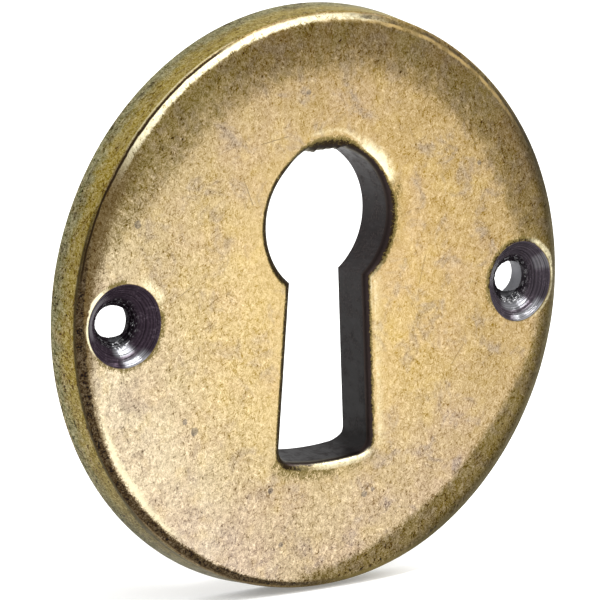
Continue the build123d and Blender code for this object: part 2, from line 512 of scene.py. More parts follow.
def screw_wear_and_sheen(s, plan, screw):
    """Soot at the lips of the screw holes, bare brass there, partly rubbed and partly a painted highlight,
    and how far their turned cones are worn greyer, partly a painted reflection.
    """
    x, z = plan.T
    right = x > 0
    around = np.degrees(np.arctan2(z, np.abs(x) - s.screw_offset))
    around = np.where(right, around, 180 - around)

    # Bare brass at the lips: partly rubbed, and partly a painted highlight on the lip's rounding
    bare_width = 0.11 + 0.14 * stretch(around, 100, 122, 142, 168)
    bare_left = 0.8 * smooth_step(screw, -0.03, 0.01) * smooth_step(bare_width - screw, 0.0, 0.06)
    bare_left = bare_left * stretch(around, 104, 130, 205, 232)
    patch = 0.48 * band(screw, -0.02, 0.08, 0.3, 0.85) * stretch(around, 16, 32, 56, 78)
    bare_right = 0.45 * stretch(around, -25, 5, 60, 95) + 0.35 * stretch(around, -85, -65, -25, 5)
    lip_width = 0.12 + 0.14 * stretch(around, 10, 35, 70, 100)
    bare_right = bare_right * smooth_step(screw, 0.0, 0.06) * smooth_step(lip_width + 0.14 - screw, 0.0, 0.14)
    shine = np.where(right, bare_right, np.maximum(bare_left, patch))

    grime_left = 0.55 * stretch(around, -75, -40, 10, 30) + 0.5 * stretch(around, 78, 92, 120, 140)
    grime_left = grime_left + 0.4 * stretch(around, -150, -125, -75, -60)
    grime_right = 0.9 * stretch(around, 40, 75, 170, 230)
    grime = np.where(right, grime_right, grime_left) * band(screw, -0.3, -0.1, 0.06, 0.36)
    soot = np.maximum(grime, 1 - smooth_step(screw, -0.05, 0.05))

    # Cones worn greyer along the bottom, and the right one at its upper right: partly wear and partly a
    # painted reflection of the lamps, with a painted glint near the right lip
    inner = np.where(right, stretch(around, -135, -108, -66, -44), stretch(around, -100, -86, -62, -46))
    outer = np.where(right, stretch(around, -110, -90, -50, -30), stretch(around, -92, -78, -54, -38))
    burnish = inner + (outer - inner) * smooth_step(screw, -0.5, -0.36)
    burnish = burnish * (1 - 0.85 * band(screw, -0.58, -0.5, -0.38, -0.3))
    glint = 0.5 * right * stretch(around, 8, 22, 38, 52) * smooth_step(screw, -0.75, -0.45)
    burnish = np.maximum.reduce((burnish, 0.1 * right, glint)) * (screw < 0)
    return soot, shine, burnish


def wear_marks(s, plan, marks):
    """How far patina was left, soot collected and brass was rubbed bright at points in plan, with painted
    dark reflections among the patina and soot and painted highlights among the rubbed brass.

    Angles are in degrees from the right, anticlockwise, and lengths in millimetres from an edge.
    """
    keyhole_soot_and_shade, keyhole_highlight = keyhole_soot_shade_and_highlights(s, plan, marks["edge_keyhole"])
    screw_soot, screw_lip_wear_and_highlight, burnish = screw_wear_and_sheen(s, plan, marks["edge_screw"])
    return {
        "patina": face_patina_and_dark_reflection(plan),
        "soot": np.maximum(keyhole_soot_and_shade, screw_soot),
        "shine": np.maximum(keyhole_highlight, screw_lip_wear_and_highlight),
        "burnish": burnish,
    }


def front_height(s, plan):
    """Height of the domed front and its shoulder at points in plan."""
    r = np.hypot(plan[:, 0], plan[:, 1])
    dome = s.thickness - np.maximum(r - s.flat_radius, 0.0) ** 2 / (2 * s.dome_radius)
    shoulder = s.side_height + (s.corner_radius - r) * s.shoulder_slope
    return soft_min(dome, shoulder, s.shoulder_blend)


def fuller_edge(s, points):
    """Points moved out and forward along the corner on the right, where the casting is fuller."""
    plan = points[:, [0, 2]]
    radius = np.hypot(*plan.T)
    moved = stretch(np.degrees(np.arctan2(plan[:, 1], plan[:, 0])), -95, -60, 15, 60)
    moved = moved * smooth_step(radius, s.corner_radius - 1.3, s.corner_radius - 0.1)
    moved = moved * smooth_step(-points[:, 1], 0.2, s.side_height)
    outward = plan / np.maximum(radius, 1e-6)[:, None] * s.edge_out
    step = np.stack([outward[:, 0], np.full(len(plan), -s.edge_forward), outward[:, 1]], 1)
    return points + step * moved[:, None]


def screw_distance(s, plan):
    """How far points lie from the axis of the nearer screw hole."""
    return np.hypot(np.abs(plan[:, 0]) - s.screw_offset, plan[:, 1])


def lip_radius(s, plan):
    """Radius of a countersink's lip towards points in plan: smaller where the front falls away."""
    axis = np.stack([np.sign(plan[:, 0]) * s.screw_offset, np.zeros(len(plan))], 1)
    away = plan - axis
    away = away / np.maximum(np.hypot(*away.T), 1e-6)[:, None]
    lip = np.full(len(plan), s.countersink_radius)
    for _ in range(LIP_STEPS):
        lip = front_height(s, axis + lip[:, None] * away) - s.cone_foot
    return lip


def rim_rows(s):
    """Radius, height and run from the corner of each row over the corner and down the side wall."""
    down = np.array([1.0, -s.shoulder_slope])
    down = down / np.linalg.norm(down)
    side = np.array([s.side_setback, -s.side_height])
    side = side / np.linalg.norm(side)
    corner = np.array([s.corner_radius, s.side_height])
    start_angle = math.atan2(down[0], -down[1])
    bend = start_angle - math.atan2(side[0], -side[1])
    cut = s.corner_rounding * math.tan(bend / 2)
    first = corner - cut * down
    centre = first + s.corner_rounding * np.array([down[1], -down[0]])
    rows = []
    for angle in np.linspace(start_angle, start_angle - bend, CORNER_ROWS):
        rows.append(centre + s.corner_rounding * np.array([math.cos(angle), math.sin(angle)]))
    foot = np.array([s.plate_radius, 0.0]) - side * s.back_rounding
    rows += [rows[-1] + t * (foot - rows[-1]) for t in np.linspace(0, 1, SIDE_ROWS + 1)[1:]]
    rows = np.array(rows)
    steps = np.hypot(*np.diff(rows, axis=0).T)
    run = np.concatenate([[0.0], np.cumsum(steps)]) - cut
    return rows[:, 0], rows[:, 1], run


def keyhole_rows(s, mesh, keyhole):
    """Rows over the keyhole's worn front edge and down its wall; gives the outermost and the hindmost."""
    edge = keyhole.loop(0.0)
    from_eye = edge - keyhole.eye
    eye_angle = np.degrees(np.arctan2(from_eye[:, 1], from_eye[:, 0]))
    round_eye = np.arange(len(edge)) < keyhole.EYE_POINTS
    outward = np.where(round_eye[:, None], from_eye / keyhole.eye_radius, 0.0)
    wear = s.eye_wear * stretch(eye_angle, 58, 88, 108, 138) * round_eye
    worn = s.keyhole_rounding + wear

    # Torn metal hanging into the top of the eye, like a ragged chord
    hang = np.radians(eye_angle - TORN_MIDDLE)
    chord = keyhole.eye_radius * (1 - math.cos(math.radians(TORN_HALF)) / np.maximum(np.cos(hang), 0.5))
    torn = stretch(eye_angle, 68, 76, 108, 116) * round_eye
    burr = np.maximum(1.25 * chord, 0.0) * round_eye + s.eye_burr * ragged(np.radians(eye_angle), 3) * torn

    def add_row(plan, out):
        fall = worn - np.sqrt(np.maximum(worn**2 - np.maximum(worn - out, 0.0) ** 2, 0.0))
        height = front_height(s, plan) - fall
        plan = plan - outward * (burr * smooth_step(-out, -0.3, 0.0))[:, None]
        return mesh.add(plan, height, edge_keyhole=out)

    front = []
    for part in EDGE_SHARES:
        plan = keyhole.loop(part * s.keyhole_rounding) + outward * (part * wear)[:, None]
        front.append(add_row(plan, part * worn))
    front.append(add_row(keyhole.loop(KEYHOLE_BORDER), np.full(len(edge), KEYHOLE_BORDER)))
    mesh.rows(front, FACE)

    wall = [front[0]]
    rounder = Keyhole(s, s.foot_corner_back).loop(0.0) - edge
    crest = front_height(s, edge) - worn
    at_foot = smooth_step(-edge[:, 1], s.slot_foot_depth - 0.5, s.slot_foot_depth + 0.1)
    for part in np.linspace(0, 1, WALL_ROWS + 1)[1:]:
        plan = edge - outward * (burr * np.exp(-((part / 0.25) ** 2)))[:, None]
        plan = plan + part * rounder
        plan[:, 1] += s.foot_draft * part * at_foot
        height = crest + part * (s.back_rounding - crest)
        wall.append(mesh.add(plan, height, edge_keyhole=height - crest, skin=0.6))
    mesh.rows(wall, KEYHOLE)
    return front[-1], wall[-1]


def turned_ridges(s, ring, angle, side):
    """Height of the cutter's marks: coarse and torn deep down, fine further out, with a groove at the end."""
    wobble = 0.02 * np.sin(angle + 0.7 * side) + 0.012 * ragged(angle, 2 + side)
    fine = np.sin(2 * math.pi * (ring + wobble) / FINE_PITCH) * band(ring, 1.3, 1.45, 1.75, 1.9)
    coarse = np.sin(2 * math.pi * (ring + 2 * wobble) / COARSE_PITCH)
    coarse = coarse + 1.5 * ragged(angle + 0.5 * ring, 5 + side)
    coarse = coarse * band(ring, 0.5, 0.6, 1.3, 1.42)
    groove = np.exp(-(((ring - GROOVE_RADIUS) / GROOVE_HALF) ** 2))
    return s.turning_marks * (0.3 * fine + 7 * coarse - 5 * groove)


def countersink_rows(s, mesh, side):
    """Rows from a screw hole out over its turned cone and worn lip; gives the outermost and the hindmost."""
    angle = np.linspace(0, 2 * math.pi, HOLE_POINTS, endpoint=False)
    axis = np.array([side * s.screw_offset, 0.0])
    spread = np.stack([np.cos(angle), np.sin(angle)], 1)
    lip = lip_radius(s, axis + spread)
    opening = axis + BORE_SHIFT + spread * np.multiply(BORE_OVAL, s.bore_radius)
    opening = opening + spread * (0.018 * ragged(angle, 7 + side))[:, None]
    mouth = axis + spread * lip[:, None]
    border = circle(HOLE_BORDER, HOLE_POINTS, axis)
    paths = [opening + part * (mouth - opening) for part in np.linspace(0, 1, CONE_ROWS)]
    paths += [mouth + part * (border - mouth) for part in LIP_SHARES]
    rows = []
    for plan in paths:
        ring = np.hypot(*(plan - axis).T)
        cone = s.cone_foot + ring + turned_ridges(s, ring, angle, side)
        height = soft_min(front_height(s, plan), cone, s.countersink_lip)
        rim = np.hypot(*plan.T) - s.corner_radius
        rows.append(mesh.add(plan, height, edge_screw=ring - lip, edge_rim=rim, skin=0.3))
    mesh.rows(rows[:CONE_ROWS], COUNTERSINK)
    mesh.rows(rows[CONE_ROWS - 1 :], FACE)
    back = mesh.add(circle(s.bore_flare, HOLE_POINTS, axis), s.recess_depth, edge_screw=-1.0, skin=0.0)
    mesh.strip(back, rows[0], COUNTERSINK)
    return rows[-1], back


def recess_wall(s):
    """Radius of the rim's inner wall and width of its sloping foot, all round."""
    angle = np.linspace(0, 2 * math.pi, RIM_POINTS, endpoint=False)
    across = s.recess_radius * np.abs(np.sin(angle))
    notch = s.screw_offset + np.sqrt(np.maximum(s.drill_radius**2 - across**2, 0.0))
    land = 0.86 * s.drill_radius
    cheek = s.screw_offset + math.sqrt(s.drill_radius**2 - land**2)
    beside = cheek + (s.recess_radius - cheek) * smooth_step(across, land, land + 0.8)
    radius = np.where(across < land, notch, beside)
    return radius, s.recess_foot * (0.06 + 0.94 * smooth_step(across, land + 0.5, land + 1.6))


def scatter(pitch, reach):
    """Points of an even triangular lattice, in plan."""
    columns, rows = int(reach / pitch) + 2, int(1.2 * reach / pitch) + 2
    across, up = np.meshgrid(np.arange(-columns, columns + 1), np.arange(-rows, rows + 1))
    return np.stack([(across + 0.5 * (up % 2)).ravel() * pitch, up.ravel() * pitch * math.sqrt(0.75)], 1)


def front_points(s, keyhole, outer_radius):
    """Loose points of the front: rings near the shoulder, an uneven lattice, and rings round each pit."""
    ring_radii = np.arange(outer_radius - 0.9 * RING_PITCH, s.corner_radius - RINGS_WIDTH, -RING_PITCH)
    rings = np.concatenate([circle(r, RIM_POINTS) for r in ring_radii])
    grid = scatter(LATTICE_PITCH, s.plate_radius)
    grid = grid[np.hypot(*grid.T) < ring_radii[-1] - 1.2 * RING_PITCH]
    shift = np.random.default_rng(LATTICE_SEED).uniform(-LATTICE_SHIFT, LATTICE_SHIFT, grid.shape)
    plan = np.concatenate([rings, grid + shift])
    plan = plan[keyhole.distance(plan) > KEYHOLE_BORDER + RING_PITCH]
    plan = plan[screw_distance(s, plan) > HOLE_BORDER + 0.6 * RING_PITCH]
    for place, size, _ in PITS:
        plan = plan[np.hypot(*(plan - place).T) > 1.55 * size]
    pits = [circle(size * part, PIT_POINTS, place) for place, size, _ in PITS for part in PIT_RINGS]
    return np.concatenate([plan] + pits)


def add_front(s, mesh, keyhole, borders, outer_radius):
    """Front between the keyhole, the countersinks and the corner, with its pits."""
    plan = front_points(s, keyhole, outer_radius)
    height = front_height(s, plan)
    pit = np.zeros(len(plan))
    for place, size, depth in PITS:
        away = np.hypot(*(plan - place).T) / size
        bowl = 1 - smooth_step(away, 0.25, 1.0)
        height = height - depth * bowl + 0.16 * depth * np.exp(-((away - 1.08) ** 2) / 0.02)
        pit = np.maximum(pit, 1 - smooth_step(away, 0.7, 1.5))
    loose = mesh.add(
        plan,
        height,
        edge_keyhole=np.minimum(keyhole.distance(plan), FAR),
        edge_screw=np.minimum(screw_distance(s, plan) - lip_radius(s, plan), FAR),
        edge_rim=np.maximum(np.hypot(*plan.T) - s.corner_radius, -FAR),
        pit=pit,
    )

    def on_front(middle):
        clear = keyhole.distance(middle) > KEYHOLE_BORDER - KEYHOLE_SLACK
        return clear & (screw_distance(s, middle) > HOLE_BORDER - HOLE_SLACK)

    mesh.fill(borders, loose, on_front, FACE)


def add_back(s, mesh, keyhole, side_foot, keyhole_foot, bores):
    """Hollow back: rim, recess wall with its sloping foot, collar and ceiling."""
    back = {"skin": 0.8, "edge_rim": 2.6}
    ease = s.back_rounding
    recess, foot = recess_wall(s)
    rim_path = (
        (s.plate_radius - ease, 0.0),
        (recess + ease, 0.0),
        (recess, ease),
        (recess, (s.recess_depth - foot) / 2),
        (recess, s.recess_depth - foot),
        (recess - foot, s.recess_depth),
    )
    rim = [side_foot]
    for r, h in rim_path:
        plan = circle(r, RIM_POINTS)
        drilled = screw_distance(s, plan) - s.countersink_radius
        rim.append(mesh.add(plan, h, edge_screw=drilled, **back))
    mesh.rows(rim, BACK)
    collar_reach = s.collar_wall + s.recess_foot
    collar_path = (
        (ease, 0.0),
        (s.collar_wall - ease, 0.0),
        (s.collar_wall, ease),
        (s.collar_wall, s.recess_depth - s.recess_foot),
        (collar_reach, s.recess_depth),
    )
    collar = [keyhole_foot] + [mesh.add(keyhole.loop(offset), h, **back) for offset, h in collar_path]
    mesh.rows(collar, BACK)
    plan = scatter(CEILING_PITCH, s.plate_radius)
    plan = plan[np.hypot(*plan.T) < s.recess_radius - s.recess_foot - CEILING_MARGIN]
    plan = plan[keyhole.distance(plan) > collar_reach + CEILING_MARGIN]
    plan = plan[screw_distance(s, plan) > s.bore_flare + CEILING_MARGIN]
    loose = mesh.add(plan, s.recess_depth, **back)
    rim_angle = np.linspace(0, 2 * math.pi, RIM_POINTS, endpoint=False)

    def on_ceiling(middle):
        clear = keyhole.distance(middle) > collar_reach - KEYHOLE_SLACK
        clear &= screw_distance(s, middle) > s.bore_flare - BORE_SLACK
        angle = np.arctan2(middle[:, 1], middle[:, 0])
        edge = np.interp(angle, rim_angle, recess - foot, period=2 * math.pi)
        return clear & (np.hypot(*middle.T) < edge)

    mesh.fill([rim[-1], collar[-1], *bores], loose, on_ceiling, BACK)


def shape_plate(s):
    """The whole skin of the plate: front, keyhole, countersinks, side wall and hollow back."""
    mesh = PlateMesh()
    keyhole = Keyhole(s, s.foot_corner)
    keyhole_front, keyhole_foot = keyhole_rows(s, mesh, keyhole)
    mouths, bores = zip(*(countersink_rows(s, mesh, side) for side in (-1, 1)))
    radii, heights, runs = rim_rows(s)
    side = [mesh.add(circle(r, RIM_POINTS), h, edge_rim=t) for r, h, t in zip(radii, heights, runs)]
    mesh.rows(side, FACE)
    add_front(s, mesh, keyhole, [side[0], keyhole_front, *mouths], radii[0])
    add_back(s, mesh, keyhole, side[-1], keyhole_foot, bores)
    return mesh


class Wiring:
    """Short ways to add nodes to a tree and join them."""

    def __init__(self, tree):
        self.tree = tree

    def node(self, kind, **settings):
        made = self.tree.nodes.new(kind)
        for name, value in settings.items():
            setattr(made, name, value)
        return made

    def put(self, socket, value):
        if isinstance(value, bpy.types.NodeSocket):
            self.tree.links.new(value, socket)
        elif socket.type == "VECTOR" and isinstance(value, float):
            socket.default_value = (value,) * 3
        elif socket.type == "RGBA":
            socket.default_value = (*value[:3], 1.0)
        else:
            socket.default_value = value

    def math(self, operation, *values, clamp=False):
        made = self.node("ShaderNodeMath", operation=operation, use_clamp=clamp)
        for socket, value in zip(made.inputs, values):
            self.put(socket, value)
        return made.outputs[0]

    def vector(self, operation, *values):
        made = self.node("ShaderNodeVectorMath", operation=operation)
        for socket, value in zip(made.inputs, values):
            self.put(socket, value)
        return made.outputs[1 if operation in ("LENGTH", "DOT_PRODUCT", "DISTANCE") else 0]

    def ease(self, value, low, high, start=0.0, end=1.0):
        made = self.node("ShaderNodeMapRange", interpolation_type="SMOOTHSTEP")
        for socket, item in zip(made.inputs, (value, low, high, start, end)):
            self.put(socket, item)
        return made.outputs[0]

    def times(self, *values):
        result = values[0]
        for value in values[1:]:
            result = self.math("MULTIPLY", result, value)
        return result

    def between(self, value, start, full_from, full_to, end):
        """1 between two values, easing to 0 outside them."""
        return self.times(self.ease(value, start, full_from), self.ease(value, end, full_to))

    def noise(self, point, scale, detail=2.0, rough=0.5, bend=0.0):
        made = self.node("ShaderNodeTexNoise")
        self.put(made.inputs["Vector"], point)
        for name, value in (("Scale", scale), ("Detail", detail), ("Roughness", rough), ("Distortion", bend)):
            self.put(made.inputs[name], value)
        return made.outputs[0]

    def mix(self, factor, first, second):
        made = self.node("ShaderNodeMix", data_type="RGBA")
        for number, value in ((0, factor), (6, first), (7, second)):
            self.put(made.inputs[number], value)
        return made.outputs[2]

    def grain(self, speckle, weights, depth, tone):
        """A tone made lighter and darker by a speckle about nought."""
        made = self.vector("MULTIPLY_ADD", self.vector("MULTIPLY", speckle, weights), depth, tone)
        return self.vector("MAXIMUM", made, 0.006)

    def attribute(self, name):
        return self.node("ShaderNodeAttribute", attribute_name=name).outputs["Fac"]

    def group(self, tree, **values):
        made = self.node("ShaderNodeGroup", node_tree=tree)
        for name, value in values.items():
            self.put(made.inputs[name.replace("_", " ").capitalize()], value)
        return made.outputs


def new_group(name, inputs, outputs):
    """An empty shader group with named sockets, its wiring, and its two ends."""
    tree = bpy.data.node_groups.new(name, "ShaderNodeTree")
    for label, kind in inputs:
        tree.interface.new_socket(name=label, in_out="INPUT", socket_type="NodeSocket" + kind)
    for label, kind in outputs:
        tree.interface.new_socket(name=label, in_out="OUTPUT", socket_type="NodeSocket" + kind)
    w = Wiring(tree)
    return w, w.node("NodeGroupInput").outputs, w.node("NodeGroupOutput").inputs


def plate_place_group():
    """Where a point lies on the plate: in millimetres, with its radius and its direction from the centre."""
    w, _, out = new_group(
        "Plate place", (), (("Point", "Vector"), ("Radius", "Float"), ("Direction", "Vector"))
    )
    point = w.vector("MULTIPLY", w.node("ShaderNodeTexCoord").outputs["Object"], (1 / MM,) * 3)
    flat = w.vector("MULTIPLY", point, (1.0, 0.0, 1.0))
    w.put(out["Point"], point)
    w.put(out["Radius"], w.vector("LENGTH", flat))
    w.put(out["Direction"], w.vector("NORMALIZE", flat))
    return w.tree


def rim_window_group():
    """A stretch of the rim: 1 about a middle direction, easing to 0 between two cosines of the way round."""
    w, given, out = new_group(
        "Rim window",
        (("Direction", "Vector"), ("Middle", "Vector"), ("Outside", "Float"), ("Inside", "Float")),
        (("Mask", "Float"),),
    )
    facing = w.vector("DOT_PRODUCT", given["Direction"], given["Middle"])
    w.put(out["Mask"], w.ease(facing, given["Outside"], given["Inside"]))
    return w.tree


def cast_grain_group():
    """Brushed cast grain: speckle with short strokes, a middle mottle, broad clouds and a height for bump."""
    w, given, out = new_group(
        "Cast grain",
        (("Point", "Vector"), ("Fineness", "Float")),
        (("Speckle", "Float"), ("Mottle", "Float"), ("Cloud", "Float"), ("Height", "Float")),
    )
    point = w.vector("SCALE", w.vector("MULTIPLY", given["Point"], (1.12, 1.0, 0.9)))
    w.put(point.node.inputs["Scale"], given["Fineness"])
    speckle = w.noise(point, 3.0, 3.0, 0.95)
    fine = w.noise(point, 13.0, 1.0, 0.8)
    mottle = w.noise(point, 1.5, 4.0, 0.62, 0.3)
    w.put(out["Mottle"], w.math("SUBTRACT", w.ease(mottle, 0.28, 0.72), 0.5))
    w.put(out["Cloud"], w.ease(w.noise(point, 0.36, 3.0, 0.55, 0.4), 0.32, 0.68))
    gather = w.ease(w.noise(point, 0.55, 3.0, 0.6, 0.5), 0.4, 0.66, -0.05, 0.05)
    total = w.math("MULTIPLY_ADD", w.math("SUBTRACT", fine, 0.5), 0.7, w.math("SUBTRACT", speckle, 0.5))
    total = w.math("MULTIPLY", total, 0.8)
    for degrees, weight in ((22, 0.18), (70, -0.19), (118, 0.16), (160, -0.19)):
        turned = w.node("ShaderNodeMapping", vector_type="TEXTURE")
        turned.inputs["Rotation"].default_value = (0.0, math.radians(degrees), 0.0)
        turned.inputs["Scale"].default_value = (0.36, 0.18, 0.085)
        w.put(turned.inputs["Vector"], point)
        strokes = w.ease(w.noise(turned.outputs[0], 1.0, 1.0), 0.56, 0.74)
        total = w.math("MULTIPLY_ADD", strokes, weight, total)
    for shift, sign, weight in ((17.0, "ADD", -0.14), (53.0, "SUBTRACT", 0.1)):
        spots = w.noise(w.vector("ADD", point, shift), 5.2, 1.5, 0.6, 0.6)
        flecks = w.ease(w.math(sign, spots, gather), 0.6, 0.68)
        total = w.math("MULTIPLY_ADD", flecks, weight, total)
    w.put(out["Speckle"], total)
    w.put(out["Height"], w.math("MULTIPLY_ADD", mottle, 0.8, speckle))
    return w.tree


def scratch_group():
    """A fine straight scratch between two points of the front."""
    w, given, out = new_group(
        "Scratch",
        (("Point", "Vector"), ("Start", "Vector"), ("End", "Vector"), ("Width", "Float")),
        (("Mask", "Float"),),
    )
    line = w.vector("SUBTRACT", given["End"], given["Start"])
    flat = w.vector("MULTIPLY", given["Point"], (1.0, 0.0, 1.0))
    away = w.vector("SUBTRACT", flat, given["Start"])
    along, whole = w.vector("DOT_PRODUCT", away, line), w.vector("DOT_PRODUCT", line, line)
    run = w.math("DIVIDE", along, whole, clamp=True)
    foot = w.vector("SCALE", line)
    w.put(foot.node.inputs["Scale"], run)
    gap = w.vector("LENGTH", w.vector("SUBTRACT", away, foot))
    w.put(out["Mask"], w.ease(gap, given["Width"], 0.0))
    return w.tree


def black_wash_group():
    """Blackened metal of the holes: near black with a violet cast and rubbed grey in places."""
    w, given, out = new_group(
        "Black wash",
        (("Point", "Vector"), ("Black", "Color"), ("Rubbed", "Color")),
        (("Colour", "Color"), ("Patch", "Float")),
    )
    patch = w.ease(w.noise(given["Point"], 1.6, 3.0, 0.6, 0.5), 0.35, 0.75)
    fine = w.noise(given["Point"], 9.0, 2.0, 0.6)
    rub = w.math("MULTIPLY", patch, w.ease(fine, 0.4, 0.75))
    w.put(out["Colour"], w.mix(rub, given["Black"], given["Rubbed"]))
    w.put(out["Patch"], patch)
    return w.tree


def new_material(name, metallic):
    """A material with its surface shader, and the wiring to dress it."""
    material = bpy.data.materials.new(name)
    material.use_nodes = True
    tree = material.node_tree
    tree.nodes.clear()
    w = Wiring(tree)
    shader = w.node("ShaderNodeBsdfPrincipled")
    shader.inputs["Metallic"].default_value = metallic
    w.put(w.node("ShaderNodeOutputMaterial").inputs["Surface"], shader.outputs["BSDF"])
    return material, w, shader


def give_bump(w, shader, height, strength, millimetres):
    """Bump from a height that runs from 0 to 1."""
    bump = w.node("ShaderNodeBump")
    bump.inputs["Strength"].default_value = strength
    bump.inputs["Distance"].default_value = millimetres * MM
    w.put(bump.inputs["Height"], height)
    w.put(shader.inputs["Normal"], bump.outputs["Normal"])


SCRATCHES = (  # start and end in plan, and width, in millimetres
    ((-5.75, 7.3), (-5.1, 5.8), 0.055),
    ((6.35, 2.05), (5.98, 0.55), 0.06),
    ((9.0, 9.0), (9.7, 7.9), 0.06),
    ((-8.9, 1.75), (-9.6, 1.35), 0.05),
    ((-2.9, 9.3), (-4.6, 9.0), 0.05),
    ((8.3, -4.2), (9.1, -3.1), 0.05),
)


DARK_BAND_WIDER = (  # middle, reach and full stretch of the rim in degrees, and how much wider the dark band of soot and painted dark reflection is there
    (216, 44, 30, 0.075),
    (184, 22, 8, 0.06),
    (187, 11, 3, 0.06),
)

WALL_LIGHT_AND_SHADE = (  # painted light and shade on the side wall: middle, reach and full stretch of the rim in degrees, and how much lighter it is painted there
    (105, 62, 20, 1.32),
    (168, 26, 20, 1.1),
    (206, 44, 20, 0.8),
    (252, 40, 20, 0.72),
    (251, 13, 4, 0.62),
)


def way(degrees):
    """Direction on the face, from the right anticlockwise, as a vector in plan."""
    return (math.cos(math.radians(degrees)), 0.0, math.sin(math.radians(degrees)))


class BrassWiring(Wiring):
    """Wiring of the aged brass, with the sockets that its coats share.

    A stretch of the rim is its middle, its reach to each side and how much of that is full, in degrees.
    A run is counted from the corner in millimetres: below zero on the front, above it on the side wall.
    """

    def __init__(self, tree, finish, groups):
        super().__init__(tree)
        self.finish, self.groups = finish, groups
        place = self.group(groups.place)
        self.point, self.radius, self.direction = place["Point"], place["Radius"], place["Direction"]
        grain = self.group(groups.grain, point=self.point, fineness=1.0)
        self.speckle, self.mottle = grain["Speckle"], grain["Mottle"]
        self.cloud, self.height = grain["Cloud"], grain["Height"]
        self.rim = self.attribute("edge_rim")
        drawn_out = self.vector("MULTIPLY", self.point, (1.0, 3.0, 1.0))
        self.streaks = self.noise(drawn_out, 1.0, 4.0, 0.65, 0.4)
        self.broken = self.ease(self.streaks, 0.4, 0.6, 0.25, 0.9)

    def colour(self, name):
        return tuple(getattr(self.finish, name))

    def loose(self, value, by_mottle, by_speckle):
        """A value with its edges made ragged by the grain."""
        mottled = self.math("MULTIPLY_ADD", self.mottle, by_mottle, value)
        return self.math("MULTIPLY_ADD", self.speckle, by_speckle, mottled)

    def toward(self, degrees, low, high, start=0.0, end=1.0):
        """A ramp across the face in a direction, between two distances past the centre."""
        return self.ease(self.vector("DOT_PRODUCT", self.point, way(degrees)), low, high, start, end)

    def window(self, degrees, outside, inside):
        """1 along a stretch of the rim, easing to 0 past it."""
        made = self.group(
            self.groups.window,
            direction=self.direction,
            middle=way(degrees),
            outside=math.cos(math.radians(outside)),
            inside=math.cos(math.radians(inside)),
        )
        return made["Mask"]

    def strip(self, ragged_by, runs, along, *strengths):
        """A ragged strip between runs, along a stretch of the rim."""
        across = self.between(self.loose(self.rim, *ragged_by), *runs)
        return self.times(across, self.window(*along), *strengths)

    def line(self, ragged_by, middle, outside, inside, along, *strengths):
        """A ragged line about a middle run, along a stretch of the rim."""
        off = self.math("ABSOLUTE", self.math("SUBTRACT", self.loose(self.rim, *ragged_by), middle))
        return self.times(self.ease(off, outside, inside), self.window(*along), *strengths)

    def fade(self, ragged_by, start, full, along, *strengths):
        """A ragged fade from one run to another, along a stretch of the rim."""
        across = self.ease(self.loose(self.rim, *ragged_by), start, full)
        return self.times(across, self.window(*along), *strengths)


def gold(w):
    """Gold of the front with painted light: paler towards the lower left and darker towards the upper right,
    cream near the lower left edge, and lighter in the middle than near the rim; with bloom in patches.
    """
    # Painted light across the front: paler towards the lower left, darker towards the upper right, cream near
    # the lower left edge
    light = w.toward(215, -11.0, 12.0)
    tone = w.mix(light, w.colour("shaded_deep_gold"), w.colour("lit_pale_gold"))
    tone = w.mix(w.toward(209, 7.5, 14.5), tone, w.colour("lit_cream_gold"))
    rose = w.ease(w.noise(w.point, 0.31, 3.0, 0.6), 0.42, 0.68, 0.0, 0.42)
    tone = w.mix(rose, tone, w.colour("rose_bloom"))
    grey = w.ease(w.noise(w.point, 0.62, 3.0, 0.7, 0.5), 0.5, 0.7)
    grey = w.times(grey, w.ease(light, 0.4, 1.0, 0.6, 0.42))
    tone = w.mix(grey, tone, w.colour("grey_bloom"))
    elsewhere = w.vector("ADD", w.point, (40.0, 0.0, 0.0))
    yellow = w.ease(w.noise(elsewhere, 0.8, 2.0, 0.6), 0.5, 0.7, 0.0, 0.22)
    tone = w.mix(yellow, tone, w.colour("yellow_gold"))
    cool = w.mix(w.toward(285, 5.0, 13.0), (1.0, 1.0, 0.96), (0.99, 1.0, 1.1))
    # Painted light and shade: lighter in the middle of the front, darker towards the rim
    outward = w.mix(w.ease(w.radius, 4.5, 12.5), (1.13, 1.11, 1.02), (0.92, 0.92, 0.95))
    return w.vector("MULTIPLY", w.vector("MULTIPLY", tone, cool), outward)


def patina_coat(w, tone):
    """Patina along the top, partly a painted dark reflection, and at the lower right; gives its mask too."""
    left_on = w.attribute("patina")
    patina = w.times(w.ease(w.loose(left_on, 0.32, -0.34), 0.02, 0.98), w.ease(left_on, 0.0, 0.12))
    hue = w.math("MAXIMUM", w.times(w.cloud, 0.6), w.times(w.window(-45, 80, 40), 0.7))
    hue = w.math("MAXIMUM", hue, w.times(w.window(150, 50, 20), 0.9))
    coat = w.mix(hue, w.colour("brown_patina"), w.colour("olive_patina"))
    grey = w.times(w.ease(w.streaks, 0.45, 0.65), 0.4)
    coat = w.mix(grey, coat, w.colour("grey_patina"))
    return w.mix(w.times(patina, 0.97), tone, coat), patina


def face_grain(w, tone, patina):
    """Grain of the front: stronger towards the lower left, calmer on the patina and beside the keyhole."""
    depth = w.times(
        w.toward(230, -6.0, 12.0, 0.56, 0.9),
        w.ease(patina, 0.0, 1.0, 1.0, 0.55),
        w.ease(w.attribute("edge_keyhole"), 0.4, 2.2, 0.65, 1.0),
    )
    return w.grain(w.speckle, (1.0, 0.86, 0.63), depth, tone)


